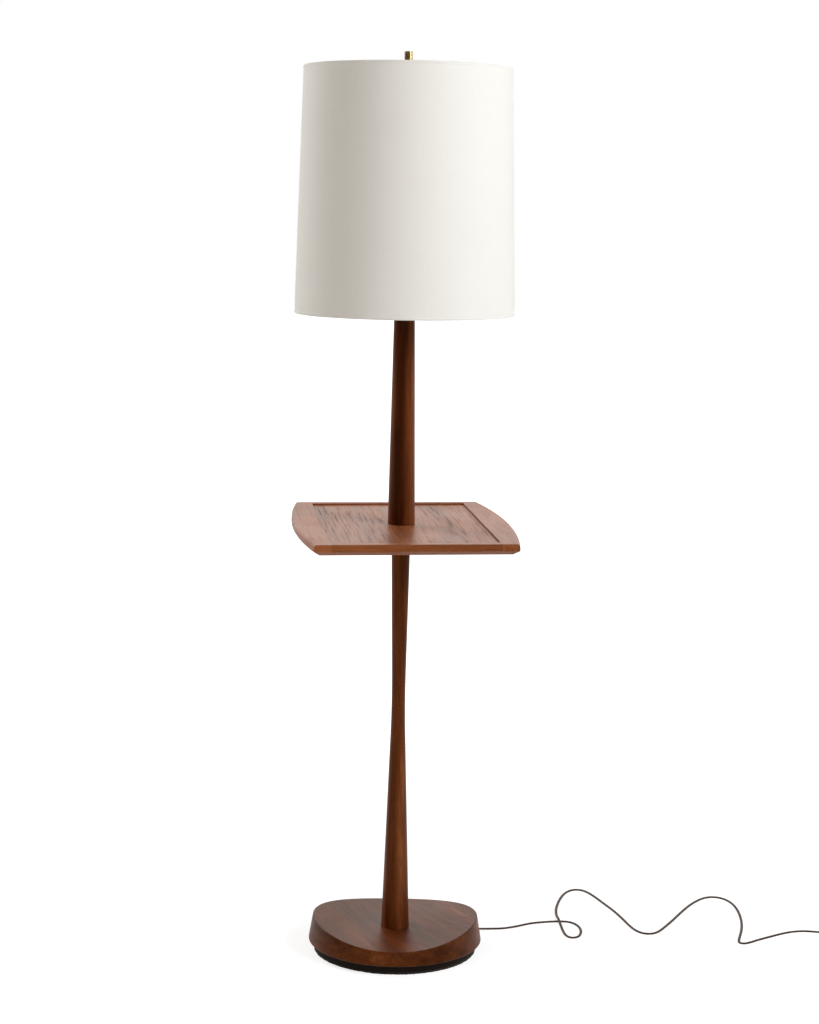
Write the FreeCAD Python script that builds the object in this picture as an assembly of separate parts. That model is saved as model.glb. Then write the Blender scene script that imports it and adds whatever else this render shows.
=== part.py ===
import FreeCAD, Part
import math
import os

from FreeCAD import Vector

# Floor lamp with a tray table, in millimetres.
# Origin: on the floor, on the axis of the column. +Z up, -Y towards the person who faces the lamp.

# ---- base ----
base_half_width = 145.4
base_half_depth = 130.8
base_mid_thickness = 23.5
base_uncut_height = 48.0
base_wall_lean = 8.0
scoop_radius = 505.0
base_top_round = 1.6
base_foot_round = 2.0
felt_thickness = 4.0
felt_inset = 0.5
weight_thickness = 12.2
weight_inset = 9.0
weight_hole_radius = 22.0
weight_screw_circle = 86.0
weight_screw_count = 3
weight_screw_length = 24.0
screw_head_radius = 4.6
screw_shank_radius = 2.2

# ---- stem ----
pipe_radius = 4.85
pipe_bore_radius = 3.3
pipe_nut_flats = 14.3
pipe_nut_height = 4.0
pipe_washer_radius = 11.0
pipe_washer_thickness = 1.5
pipe_below_nut = 1.5
nut_recess_radius = 13.0
nut_recess_depth = 8.0
column_foot_radius = 23.3
column_neck_radius = 10.6
column_neck_height = 423.0
column_shoulder_radius = 15.6
column_neck_blend = 2000.0
upper_column_foot_radius = 22.2
upper_column_top_radius = 14.9
upper_column_length = 459.0
column_edge_round = 0.8
column_seat_depth = 0.6
lead_above_pipe = 4.0

# ---- tray ----
tray_top_height = 728.0
tray_thickness = 17.4
tray_half_width = 176.7
tray_corner_half_width = 158.7
tray_half_depth = 219.0
tray_turn = 6.8
tray_edge_round = 5.0
tray_bevel_height = 7.0
tray_bevel_inset = 11.0
panel_half_width = 131.5
panel_half_depth = 198.5
panel_drop = 2.8

# ---- column cap, saddle and harp ----
neck_cap_radius = 15.6
neck_cap_height = 9.0
neck_cap_round = 2.0
saddle_thickness = 2.0
saddle_width = 15.0
saddle_half_span = 29.0
saddle_rise = 6.0
saddle_end_half_length = 5.0
saddle_slope_run = 7.0
saddle_prong_height = 8.0
harp_wire_radius = 2.3
harp_height = 254.0
harp_half_width = 57.0
harp_straight_leg = 38.0
harp_flare_height = 48.0
harp_flare_bend = 34.0
harp_top_bend = 46.0
harp_pad_half_length = 9.0
harp_pad_half_width = 5.0
stud_flange_radius = 7.0
stud_flange_thickness = 2.0
stud_radius = 3.1
stud_length = 15.5
stud_end_room = 1.0
ferrule_length = 16.0
ferrule_wall = 0.9

# ---- socket ----
socket_cap_radius = 17.6
socket_cap_height = 22.0
socket_cap_wall = 0.8
socket_cap_neck_radius = 7.5
socket_cap_neck_height = 6.0
socket_cap_dome = 9.0
shell_length = 44.0
shell_wall = 0.6
shell_seat_depth = 5.0
sleeve_wall = 0.8
core_height = 24.0
screw_shell_wall = 0.4
screw_shell_height = 18.0
contact_radius = 4.0
contact_height = 2.0
switch_shaft_radius = 2.0
switch_shaft_length = 21.0
switch_height = 12.0
switch_bore_depth = 10.0
knob_radius = 7.0
knob_length = 13.0
knob_flat_half_thickness = 4.2
knob_grip_start = 4.0
knob_round = 1.2

# ---- bulb ----
bulb_cap_radius = 13.0
bulb_cap_height = 20.0
bulb_tip_radius = 4.5
bulb_tip_height = 3.5
bulb_neck_radius = 14.0
bulb_radius = 30.0
bulb_globe_height = 52.0
bulb_glass_wall = 0.8

# ---- shade ----
shade_top_radius = 164.8
shade_bottom_radius = 176.8
shade_height = 385.9
shade_wall = 1.2
trim_width = 4.6
trim_wall = 0.7
trim_lap = 2.0
ring_wire_radius = 1.5
hub_radius = 12.5
hub_thickness = 2.5
hub_below_rim = 3.0
arm_radius = 1.25
arm_count = 3
arm_first_angle = 90.0
finial_radius = 6.8
finial_height = 28.0
finial_bevel = 0.7

# ---- cord ----
cord_radius = 2.3
cord_exit_angle = 30.0
cord_exit_height = 9.7
groove_radius = 4.2
exit_flat_depth = 1.5
exit_flat_half_width = 7.0
bushing_flange_radius = 5.3
bushing_flange_thickness = 2.0
bushing_sleeve_length = 9.0
lead_bend_radius = 9.8
coil_half_turns_in = 6
coil_inner_radius = 17.0
coil_lead_in = 5.0
coil_gap = 0.6
coil_lead_out = 24.0
plug_body_length = 30.0
plug_body_width = 25.0
plug_body_thickness = 15.0
plug_body_round = 3.0
plug_neck_length = 14.0
plug_neck_radius = 4.2
plug_neck_tip_radius = 3.2
blade_length = 17.0
blade_width = 6.3
blade_thickness = 1.5
blade_spacing = 12.7

# ---- clearances ----
slip_clearance = 0.3
running_clearance = 0.1
press_clearance = 0.05
screw_hole_clearance = 0.2
ring_fit_clearance = 0.05

# ---- drawing constants ----
arc_share = 0.45
level_tolerance = 0.001
gap_step = 2.0

# ---- levels worked out from the sizes ----
weight_bottom = felt_thickness
weight_top = weight_bottom + weight_thickness
wood_top = weight_top + base_mid_thickness
tray_bottom = tray_top_height - tray_thickness
panel_top = tray_top_height - panel_drop
upper_column_top = panel_top + upper_column_length
saddle_bottom = upper_column_top + neck_cap_height
saddle_top = saddle_bottom + saddle_thickness
column_bottom = wood_top - column_seat_depth
ferrule_seat = saddle_top + saddle_rise
prong_top = ferrule_seat + saddle_prong_height
stud_top = saddle_bottom + harp_height
stud_seat = stud_top - stud_flange_thickness
hub_top = stud_top + hub_thickness
shade_top = hub_top + hub_below_rim
shade_bottom = shade_top - shade_height
socket_cap_top = saddle_top + socket_cap_height
shell_bottom = socket_cap_top - shell_seat_depth
shell_top = shell_bottom + shell_length
shell_radius = socket_cap_radius - socket_cap_wall - press_clearance
sleeve_radius = shell_radius - shell_wall - press_clearance
core_radius = sleeve_radius - sleeve_wall - slip_clearance
core_top = shell_bottom + core_height
contact_top = core_top + contact_height
bulb_cap_bottom = contact_top + bulb_tip_height
bulb_cap_top = bulb_cap_bottom + bulb_cap_height
switch_level = shell_bottom + switch_height
pipe_top = saddle_top + socket_cap_neck_height
nut_recess_top = weight_top + nut_recess_depth
nut_bottom = nut_recess_top - pipe_washer_thickness - pipe_nut_height
pipe_bottom = nut_bottom - pipe_below_nut
stem_bore_radius = pipe_radius + slip_clearance
ring_level = hub_top - hub_thickness / 2
plug_axis_level = plug_body_thickness / 2

Z_AXIS = Vector(0, 0, 1)


# The free run of the cord, from the bushing to its coil. Points on its centre line, chosen by hand.
cord_route = [
    (131, 75.5, 6.4), (146, 83, 2.8), (165, 88, 2.3), (188, 90, 2.3), (212, 101, 2.3),
    (236, 117, 2.3), (262, 124.5, 2.3), (287, 129, 2.3), (307, 127, 2.3), (319, 111, 2.3),
    (323, 90, 2.3), (321, 71, 2.3), (316, 57, 2.3), (306, 50.5, 2.3), (297, 55.5, 2.3),
    (293, 68, 2.3), (291, 84, 2.3), (289.5, 106, 2.3), (287, 129, 9.2), (285, 158, 2.3),
    (287, 192, 2.3), (295, 230, 2.3), (304, 260, 2.3), (314, 280, 2.3), (326, 291, 2.3),
    (340, 290.5, 2.3), (351, 279, 2.3), (362, 256, 2.3), (375, 222, 2.3), (390, 184, 2.3),
    (401, 146, 2.3), (410, 111, 2.3), (418, 89, 2.3), (430, 76, 2.3), (445, 75.5, 2.3),
    (457, 86, 2.3), (471, 109, 2.3), (490, 144, 2.3), (510, 184, 2.3), (531, 222, 2.3),
    (551, 249, 2.3), (568, 263, 2.3), (587, 263.5, 2.3), (601, 250, 2.3), (610, 226, 2.3),
    (613, 190, 2.3), (611, 146, 2.3), (604, 102, 2.3), (595, 69, 2.3), (590, 50, 2.3),
    (589.5, 39.5, 2.3), (597.5, 36.5, 2.3), (609, 43, 2.3), (625, 56, 2.3), (645, 69, 2.3),
    (667, 84, 2.3), (689, 96, 2.3), (713, 101, 2.3), (738, 96, 2.3), (764, 92, 2.3),
    (785, 92, 2.3),
]


def cylinder(radius, bottom, top, x=0.0, y=0.0):
    return Part.makeCylinder(radius, top - bottom, Vector(x, y, bottom))


def tube(outer, inner, bottom, top):
    return cylinder(outer, bottom, top).cut(cylinder(inner, bottom, top))


def box_between(low, high):
    low, high = Vector(*low), Vector(*high)
    size = high.sub(low)
    return Part.makeBox(size.x, size.y, size.z, low)


def turned(edges):
    """Turn a closed profile, drawn in the XZ plane, about the Z axis."""
    face = Part.Face(Part.Wire(Part.sortEdges(edges)[0]))
    return face.revolve(Vector(0, 0, 0), Z_AXIS, 360)


def turned_polygon(points):
    """A turned solid whose profile is a polygon of (radius, height) points."""
    corners = [Vector(radius, 0, height) for radius, height in points]
    return turned(Part.makePolygon(corners + corners[:1]).Edges)


def ellipse_wire(half_width, half_depth, level):
    across = Vector(half_width, 0, level)
    deep = Vector(0, half_depth, level)
    ends = (across, deep) if half_width >= half_depth else (deep, across)
    return Part.Wire(Part.Ellipse(*ends, Vector(0, 0, level)).toShape())


def ellipse_plate(half_width, half_depth, bottom, top):
    face = Part.Face(ellipse_wire(half_width, half_depth, bottom))
    return face.extrude(Vector(0, 0, top - bottom))


def ellipse_reach(half_width, half_depth, degrees):
    """How far an ellipse lies from its centre in one direction."""
    angle = math.radians(degrees)
    return 1 / math.hypot(math.cos(angle) / half_width, math.sin(angle) / half_depth)


def turn_about_z(shape, degrees):
    turned_copy = shape.copy()
    turned_copy.rotate(Vector(0, 0, 0), Z_AXIS, degrees)
    return turned_copy


def corner_turn(before, corner, after):
    return corner.sub(before).getAngle(after.sub(corner))


def rounded_path(points, radii):
    """Straight runs joined by tangent arcs: one radius for each inner point."""
    edges = []
    start = points[0]
    for before, corner, after, radius in zip(points, points[1:], points[2:], radii):
        turn = corner_turn(before, corner, after)
        if turn < 1e-6:
            continue
        back = before.sub(corner).normalize()
        ahead = after.sub(corner).normalize()
        inward = back.add(ahead).normalize()
        reach = radius * math.tan(turn / 2)
        arc_start = corner.add(back * reach)
        arc_end = corner.add(ahead * reach)
        arc_middle = corner.add(inward * (radius / math.cos(turn / 2) - radius))
        edges.append(Part.LineSegment(start, arc_start).toShape())
        edges.append(Part.Arc(arc_start, arc_middle, arc_end).toShape())
        start = arc_end
    edges.append(Part.LineSegment(start, points[-1]).toShape())
    return edges


def cord_radii(points):
    """The largest arc that the two runs at each point leave room for."""
    radii = []
    for before, corner, after in zip(points, points[1:], points[2:]):
        shorter = min(corner.distanceToPoint(before), after.distanceToPoint(corner))
        turn = max(corner_turn(before, corner, after), 1e-6)
        radii.append(arc_share * shorter / math.tan(turn / 2))
    return radii


def swept_round(edges, radius):
    """A round section swept along tangent edges."""
    path = Part.Wire(edges)
    first = edges[0]
    start = first.valueAt(first.FirstParameter)
    direction = first.tangentAt(first.FirstParameter)
    section = Part.Wire(Part.Circle(start, direction, radius).toShape())
    return path.makePipeShell([section], True, False)


def round_edges(shape, radius, test):
    edges = [edge for edge in shape.Edges if test(edge)]
    return shape.makeFillet(radius, edges)


def is_level(edge, height):
    box = edge.BoundBox
    return abs(box.ZMin - height) < level_tolerance and abs(box.ZMax - height) < level_tolerance


# ---------------------------------------------------------------- base

def weight_outline():
    return base_half_width - weight_inset, base_half_depth - weight_inset


def cord_exit_face():
    """Distance from the axis to the flat on the weight where the cord leaves."""
    return ellipse_reach(*weight_outline(), cord_exit_angle) - exit_flat_depth


def weight_screw_spots():
    step = 360 / weight_screw_count
    angles = [cord_exit_angle + step / 2 + number * step for number in range(weight_screw_count)]
    return [(weight_screw_circle * math.cos(math.radians(angle)),
             weight_screw_circle * math.sin(math.radians(angle))) for angle in angles]


def screw_form(spare, tip):
    """A countersunk screw from below, or the hole for it when spare is a clearance."""
    shank = screw_shank_radius + spare
    head = screw_head_radius + spare
    top = weight_bottom + weight_screw_length + spare
    sink = weight_bottom + screw_head_radius - screw_shank_radius
    points = [(0, weight_bottom), (head, weight_bottom), (shank, sink),
              (shank, top - tip), (0, top)]
    return turned_polygon(points)


def base_wood():
    top_half_width = base_half_width - base_wall_lean
    top_half_depth = base_half_depth - base_wall_lean
    uncut_top = weight_top + base_uncut_height
    outlines = [ellipse_wire(base_half_width, base_half_depth, weight_top),
                ellipse_wire(top_half_width, top_half_depth, uncut_top)]
    block = Part.makeLoft(outlines, True, True)
    scoop_axis = wood_top + scoop_radius
    scoop_start = Vector(0, -2 * base_half_depth, scoop_axis)
    scoop = Part.makeCylinder(scoop_radius, 4 * base_half_depth, scoop_start, Vector(0, 1, 0))
    block = block.cut(scoop)
    block = round_edges(block, base_foot_round, lambda edge: is_level(edge, weight_top))
    block = round_edges(block, base_top_round, is_scoop_rim)
    seat = cylinder(column_foot_radius + slip_clearance, column_bottom, uncut_top)
    bore = cylinder(stem_bore_radius, weight_top, uncut_top)
    nut_recess = cylinder(nut_recess_radius, weight_top, nut_recess_top)
    block = block.cut(seat).cut(bore).cut(nut_recess)
    for x, y in weight_screw_spots():
        hole = screw_form(screw_hole_clearance, 0.0)
        hole.translate(Vector(x, y, 0))
        block = block.cut(hole)
    return block


def is_scoop_rim(edge):
    """True for the saddle-shaped rim between the scooped top and the wall."""
    box = edge.BoundBox
    crosses = box.XLength > base_half_width and box.YLength > base_half_depth
    return crosses and box.ZLength > 1


def base_weight():
    half_width, half_depth = weight_outline()
    plate = ellipse_plate(half_width, half_depth, weight_bottom, weight_top)
    plate = plate.cut(cylinder(weight_hole_radius, weight_bottom, weight_top))
    reach = 2 * base_half_width
    groove = Part.makeCylinder(groove_radius, reach, Vector(0, 0, cord_exit_height), Vector(1, 0, 0))
    slot = box_between((0, -groove_radius, weight_bottom), (reach, groove_radius, cord_exit_height))
    facet = box_between((cord_exit_face(), -exit_flat_half_width, weight_bottom),
                        (reach, exit_flat_half_width, weight_top))
    plate = plate.cut(turn_about_z(groove.fuse(slot).fuse(facet), cord_exit_angle))
    for x, y in weight_screw_spots():
        hole = screw_form(screw_hole_clearance, 0.0)
        hole.translate(Vector(x, y, 0))
        plate = plate.cut(hole)
    return plate


def base_felt():
    half_width, half_depth = weight_outline()
    return ellipse_plate(half_width - felt_inset, half_depth - felt_inset, 0, felt_thickness)


def weight_screw(x, y):
    screw = screw_form(0.0, screw_shank_radius)
    screw.translate(Vector(x, y, 0))
    return screw


def cord_bushing():
    face = cord_exit_face()
    centre = Vector(face, 0, cord_exit_height)
    outward = Vector(1, 0, 0)
    flange = Part.makeCylinder(bushing_flange_radius, bushing_flange_thickness, centre, outward)
    sleeve_start = centre.sub(outward * bushing_sleeve_length)
    sleeve_radius = groove_radius - press_clearance
    bushing = flange.fuse(Part.makeCylinder(sleeve_radius, bushing_sleeve_length, sleeve_start, outward))
    bore_length = bushing_sleeve_length + bushing_flange_thickness
    bore_radius = cord_radius + press_clearance
    bushing = bushing.cut(Part.makeCylinder(bore_radius, bore_length, sleeve_start, outward))
    return turn_about_z(bushing.removeSplitter(), cord_exit_angle)


def cord_start():
    reach = cord_exit_face() + bushing_flange_thickness
    angle = math.radians(cord_exit_angle)
    return Vector(reach * math.cos(angle), reach * math.sin(angle), cord_exit_height)


# ---------------------------------------------------------------- stem

def stem_pipe():
    return tube(pipe_radius, pipe_bore_radius, pipe_bottom, pipe_top)


def hex_nut(flats, bottom, top, bore):
    corner_radius = flats / 2 / math.cos(math.pi / 6)
    corners = [Vector(corner_radius * math.cos(side * math.pi / 3),
                      corner_radius * math.sin(side * math.pi / 3), bottom) for side in range(7)]
    prism = Part.Face(Part.makePolygon(corners)).extrude(Vector(0, 0, top - bottom))
    return prism.cut(cylinder(bore, bottom, top))


def base_nut():
    top = nut_recess_top - pipe_washer_thickness
    return hex_nut(pipe_nut_flats, nut_bottom, top, pipe_radius + press_clearance)


def base_washer():
    bottom = nut_recess_top - pipe_washer_thickness
    return tube(pipe_washer_radius, stem_bore_radius, bottom, nut_recess_top)


def inner_lead():
    top = pipe_top + lead_above_pipe
    corner = Vector(0, 0, cord_exit_height)
    path = rounded_path([Vector(0, 0, top), corner, cord_start()], [lead_bend_radius])
    return swept_round(path, cord_radius)


def lower_column():
    foot = Vector(column_foot_radius, 0, column_bottom)
    neck = Vector(column_neck_radius, 0, column_neck_height)
    shoulder = Vector(column_shoulder_radius, 0, tray_bottom)
    side = rounded_path([foot, neck, shoulder], [column_neck_blend])
    inner = Part.makePolygon([shoulder, Vector(0, 0, tray_bottom), Vector(0, 0, column_bottom), foot])
    column = turned(side + inner.Edges)
    column = round_edges(column, column_edge_round, lambda edge: is_level(edge, column_bottom))
    return column.cut(cylinder(stem_bore_radius, column_bottom, tray_bottom))


def upper_column():
    column = Part.makeCone(upper_column_foot_radius, upper_column_top_radius,
                           upper_column_length, Vector(0, 0, panel_top))
    column = round_edges(column, column_edge_round, lambda edge: is_level(edge, panel_top))
    return column.cut(cylinder(stem_bore_radius, panel_top, upper_column_top))


# ---------------------------------------------------------------- tray

def tray_edge_profile(rim):
    """Section of the tray from its middle out to the rim, as edges in the XZ plane."""
    side_top = tray_top_height - tray_edge_round
    side_bottom = tray_bottom + tray_bevel_height
    arc_middle = tray_edge_round * (1 - math.sqrt(0.5))
    round_start = Vector(rim - tray_edge_round, 0, tray_top_height)
    round_middle = Vector(rim - arc_middle, 0, tray_top_height - arc_middle)
    round_end = Vector(rim, 0, side_top)
    straight = [round_end, Vector(rim, 0, side_bottom), Vector(rim - tray_bevel_inset, 0, tray_bottom),
                Vector(0, 0, tray_bottom), Vector(0, 0, tray_top_height), round_start]
    return [Part.Arc(round_start, round_middle, round_end).toShape()] + Part.makePolygon(straight).Edges


def tray_board():
    """The tray's uncut board: two straight sides and two bowed ones, all with the same edge."""
    bow = tray_half_width - tray_corner_half_width
    bow_radius = (tray_half_depth ** 2 + bow ** 2) / (2 * bow)
    disc = turned(tray_edge_profile(bow_radius))
    right = disc.copy()
    right.translate(Vector(tray_half_width - bow_radius, 0, 0))
    left = disc.copy()
    left.translate(Vector(bow_radius - tray_half_width, 0, 0))
    section = Part.Face(Part.Wire(Part.sortEdges(tray_edge_profile(tray_half_depth))[0]))
    half = section.extrude(Vector(0, 2 * tray_half_width, 0))
    half.translate(Vector(0, -tray_half_width, 0))
    back = turn_about_z(half, 90)
    front = turn_about_z(half, -90)
    return right.common(left).common(back.fuse(front).removeSplitter())


def tray_wing(board, side):
    outer = 2 * tray_half_width * side
    inner = panel_half_width * side
    region = box_between((min(inner, outer), -tray_half_depth, tray_bottom),
                         (max(inner, outer), tray_half_depth, tray_top_height))
    return turn_about_z(board.common(region), tray_turn)


def tray_rail(board, side):
    outer = tray_half_depth * side
    inner = panel_half_depth * side
    region = box_between((-panel_half_width, min(inner, outer), tray_bottom),
                         (panel_half_width, max(inner, outer), tray_top_height))
    return turn_about_z(board.common(region), tray_turn)


def tray_panel():
    panel = box_between((-panel_half_width, -panel_half_depth, tray_bottom),
                        (panel_half_width, panel_half_depth, panel_top))
    panel = panel.cut(cylinder(stem_bore_radius, tray_bottom, panel_top))
    return turn_about_z(panel, tray_turn)


# ---------------------------------------------------------------- cap, saddle and harp

def neck_cap():
    cap = cylinder(neck_cap_radius, upper_column_top, saddle_bottom)
    cap = round_edges(cap, neck_cap_round, lambda edge: is_level(edge, saddle_bottom))
    return cap.cut(cylinder(stem_bore_radius, upper_column_top, saddle_bottom))


def harp_saddle():
    low, high = saddle_bottom, saddle_bottom + saddle_rise
    inner = saddle_half_span - saddle_end_half_length - saddle_slope_run
    middle = saddle_half_span - saddle_end_half_length
    outer = saddle_half_span + saddle_end_half_length
    under = [(-outer, high), (-middle, high), (-inner, low), (inner, low), (middle, high), (outer, high)]
    over = [(x, level + saddle_thickness) for x, level in reversed(under)]
    corners = [Vector(x, -saddle_width / 2, level) for x, level in under + over]
    strip = Part.Face(Part.makePolygon(corners + corners[:1])).extrude(Vector(0, saddle_width, 0))
    strip = strip.cut(cylinder(stem_bore_radius, low, saddle_top))
    for side in (-1, 1):
        x = side * saddle_half_span
        strip = strip.fuse(cylinder(harp_wire_radius, ferrule_seat, prong_top, x))
    return strip.removeSplitter()


def harp_wire():
    top = stud_seat - harp_wire_radius
    flare_start = prong_top + harp_straight_leg
    flare_end = flare_start + harp_flare_height
    half = [Vector(saddle_half_span, 0, prong_top), Vector(saddle_half_span, 0, flare_start),
            Vector(harp_half_width, 0, flare_end), Vector(harp_half_width, 0, top)]
    other = [Vector(-point.x, 0, point.z) for point in reversed(half)]
    radii = [harp_flare_bend, harp_flare_bend, harp_top_bend]
    wire = swept_round(rounded_path(half + other, radii + radii[::-1]), harp_wire_radius)
    pad = box_between((-harp_pad_half_length, -harp_pad_half_width, top - harp_wire_radius),
                      (harp_pad_half_length, harp_pad_half_width, stud_seat))
    return wire.fuse(pad)


def harp_stud():
    flange = cylinder(stud_flange_radius, stud_seat, stud_top)
    return flange.fuse(cylinder(stud_radius, stud_top, stud_top + stud_length)).removeSplitter()


def harp_ferrule(side):
    inner = harp_wire_radius + running_clearance
    ferrule = tube(inner + ferrule_wall, inner, ferrule_seat, ferrule_seat + ferrule_length)
    ferrule.translate(Vector(side * saddle_half_span, 0, 0))
    return ferrule


# ---------------------------------------------------------------- socket and switch

def switch_bore():
    start = Vector(0, -(core_radius - switch_bore_depth), switch_level)
    reach = switch_bore_depth + socket_cap_radius
    return Part.makeCylinder(switch_shaft_radius + running_clearance, reach, start, Vector(0, -1, 0))


def socket_cap():
    bowl_bottom = saddle_top + socket_cap_neck_height
    inner_bottom = bowl_bottom + socket_cap_wall
    outside = cylinder(socket_cap_radius, bowl_bottom, socket_cap_top)
    outside = round_edges(outside, socket_cap_dome, lambda edge: is_level(edge, bowl_bottom))
    inside = cylinder(socket_cap_radius - socket_cap_wall, inner_bottom, socket_cap_top)
    inner_dome = socket_cap_dome - socket_cap_wall
    inside = round_edges(inside, inner_dome, lambda edge: is_level(edge, inner_bottom))
    neck = cylinder(socket_cap_neck_radius, saddle_top, inner_bottom)
    cap = outside.cut(inside).fuse(neck).removeSplitter()
    return cap.cut(cylinder(pipe_radius + press_clearance, saddle_top, inner_bottom))


def socket_shell():
    shell = tube(shell_radius, shell_radius - shell_wall, shell_bottom, shell_top)
    return shell.cut(switch_bore())


def socket_sleeve():
    sleeve = tube(sleeve_radius, sleeve_radius - sleeve_wall, shell_bottom, shell_top)
    return sleeve.cut(switch_bore())


def socket_core():
    return cylinder(core_radius, shell_bottom, core_top).cut(switch_bore())


def screw_shell():
    inner = bulb_cap_radius + slip_clearance
    return tube(inner + screw_shell_wall, inner, core_top, core_top + screw_shell_height)


def centre_contact():
    return cylinder(contact_radius, core_top, contact_top)


def switch_shaft():
    start = Vector(0, -(core_radius - switch_bore_depth), switch_level)
    return Part.makeCylinder(switch_shaft_radius, switch_shaft_length, start, Vector(0, -1, 0))


def switch_knob():
    face = core_radius - switch_bore_depth + switch_shaft_length
    body = Part.makeCylinder(knob_radius, knob_length, Vector(0, -face, switch_level), Vector(0, -1, 0))
    rim = [edge for edge in body.Edges if edge.BoundBox.YLength < level_tolerance]
    body = body.makeFillet(knob_round, rim)
    grip_start = face + knob_grip_start
    for side in (-1, 1):
        near = switch_level + side * knob_flat_half_thickness
        far = switch_level + side * 2 * knob_radius
        body = body.cut(box_between((-knob_radius, -face - 2 * knob_length, min(near, far)),
                                    (knob_radius, -grip_start, max(near, far))))
    return body


# ---------------------------------------------------------------- bulb

def tangent_from(point_radius, point_level, centre_level, radius):
    """Where a line from a point beside the axis touches a ball on the axis, on its outer side."""
    distance = math.hypot(point_radius, centre_level - point_level)
    lean = math.atan2(point_radius, centre_level - point_level)
    angle = math.acos(radius / distance) + lean
    return radius * math.sin(angle), centre_level - radius * math.cos(angle)


def bulb_body(spare):
    """The bulb's outer form, drawn in by spare for its inside."""
    bottom = bulb_cap_top
    centre = bulb_cap_top + bulb_globe_height
    neck = bulb_neck_radius - spare
    ball = bulb_radius - spare
    touch_radius, touch_level = tangent_from(neck, bottom, centre, ball)
    start = Vector(touch_radius, 0, touch_level)
    crown = Vector(0, 0, centre + ball)
    middle_angle = (math.atan2(touch_level - centre, touch_radius) + math.pi / 2) / 2
    middle = Vector(ball * math.cos(middle_angle), 0, centre + ball * math.sin(middle_angle))
    sides = Part.makePolygon([crown, Vector(0, 0, bottom), Vector(neck, 0, bottom), start])
    return turned([Part.Arc(start, middle, crown).toShape()] + sides.Edges)


def bulb_glass():
    return bulb_body(0.0).cut(bulb_body(bulb_glass_wall))


def bulb_cap():
    return cylinder(bulb_cap_radius, bulb_cap_bottom, bulb_cap_top)


def bulb_tip():
    return Part.makeCone(bulb_tip_radius, bulb_cap_radius, bulb_tip_height, Vector(0, 0, contact_top))


# ---------------------------------------------------------------- shade

def drum_radius(level):
    """Outside radius of the shade at one height."""
    rise = (level - shade_bottom) / shade_height
    return shade_bottom_radius + (shade_top_radius - shade_bottom_radius) * rise


def shade_drum():
    top, bottom = shade_top, shade_bottom
    return turned_polygon([(drum_radius(bottom) - shade_wall, bottom), (drum_radius(bottom), bottom),
                           (drum_radius(top), top), (drum_radius(top) - shade_wall, top)])


def shade_trim(rim, inward):
    """A folded tape over one rim of the drum. Inward is -1 at the top rim and +1 at the bottom one."""
    outer_end = rim + inward * trim_width
    inner_end = rim + inward * trim_lap
    over = rim - inward * trim_wall
    outside, inside = trim_wall, -shade_wall - trim_wall
    return turned_polygon([(drum_radius(outer_end) + outside, outer_end), (drum_radius(rim) + outside, over),
                           (drum_radius(rim) + inside, over), (drum_radius(inner_end) + inside, inner_end),
                           (drum_radius(inner_end) - shade_wall, inner_end),
                           (drum_radius(rim) - shade_wall, rim), (drum_radius(rim), rim),
                           (drum_radius(outer_end), outer_end)])


def ring_radius(level):
    return drum_radius(level) - shade_wall - ring_wire_radius - ring_fit_clearance


def shade_ring(level):
    return Part.makeTorus(ring_radius(level), ring_wire_radius, Vector(0, 0, level))


def spider_hub():
    return tube(hub_radius, stud_radius + slip_clearance, stud_top, hub_top)


def spider_arm(angle, hub, ring):
    reach = ring_radius(ring_level)
    start = Vector(hub_radius - hub_thickness, 0, ring_level)
    length = reach - start.x
    arm = Part.makeCylinder(arm_radius, length, start, Vector(1, 0, 0))
    arm = turn_about_z(arm, angle).cut(hub).cut(ring)
    return max(arm.Solids, key=lambda solid: solid.Volume)


def finial():
    top = hub_top + finial_height
    body = cylinder(finial_radius, hub_top, top)
    body = body.makeChamfer(finial_bevel, [edge for edge in body.Edges if is_level(edge, top)])
    bore_top = stud_top + stud_length + stud_end_room
    return body.cut(cylinder(stud_radius + running_clearance, hub_top, bore_top))


# ---------------------------------------------------------------- cord

def cord_points():
    return [cord_start()] + [Vector(*point) for point in cord_route]


def cord_run():
    points = cord_points()
    radii = cord_radii(points)
    edges = rounded_path(points, radii)
    print("cord run starts at %.1f %.1f %.1f" % tuple(points[0]))
    run = swept_round(edges, cord_radius)
    length = sum(edge.Length for edge in edges)
    section = math.pi * cord_radius ** 2
    print("cord run: length %.0f, volume / (section x length) %.4f" % (length, run.Volume / section / length))
    print("cord run radii:", " ".join("%.0f" % radius for radius in radii))
    return run


def coil_reach():
    """Distance of the coil's tube from its centre at each half turn: inward, then out again."""
    pitch = 2 * cord_radius + coil_gap
    steps = [0.0, 1.0] + [1.0 + number / 2 for number in range(1, coil_half_turns_in - 1)]
    outward = [coil_inner_radius + step * pitch for step in steps]
    last = coil_inner_radius + (steps[-1] + 0.5) * pitch
    return outward[::-1] + outward + [last]


def coil_path():
    """Half turns that pile inward on the floor, climb one layer and pile outward again."""
    reach = coil_reach()
    floor_level = cord_radius
    top_level = floor_level + 2 * cord_radius + coil_gap
    centre = coil_centre()
    spots = []
    for number, distance in enumerate(reach):
        side = -1 if number % 2 == 0 else 1
        level = floor_level if number < coil_half_turns_in else top_level
        spots.append(centre.add(Vector(0, side * distance, level)))
    lead = Vector(coil_lead_in, 0, 0)
    edges = [Part.LineSegment(spots[0].sub(lead), spots[0]).toShape()]
    for number, (start, end) in enumerate(zip(spots, spots[1:])):
        heading = Vector(1, 0, 0) if number % 2 == 0 else Vector(-1, 0, 0)
        middle = start.add(end).multiply(0.5)
        half_chord = start.distanceToPoint(end) / 2
        edges.append(Part.Arc(start, middle.add(heading * half_chord), end).toShape())
    return edges, spots[-1]


def coil_centre():
    """The coil's first half turn takes up the line on which the free run ends."""
    last = cord_route[-1]
    return Vector(last[0] + coil_lead_in, last[1] + coil_reach()[0], 0)


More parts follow.
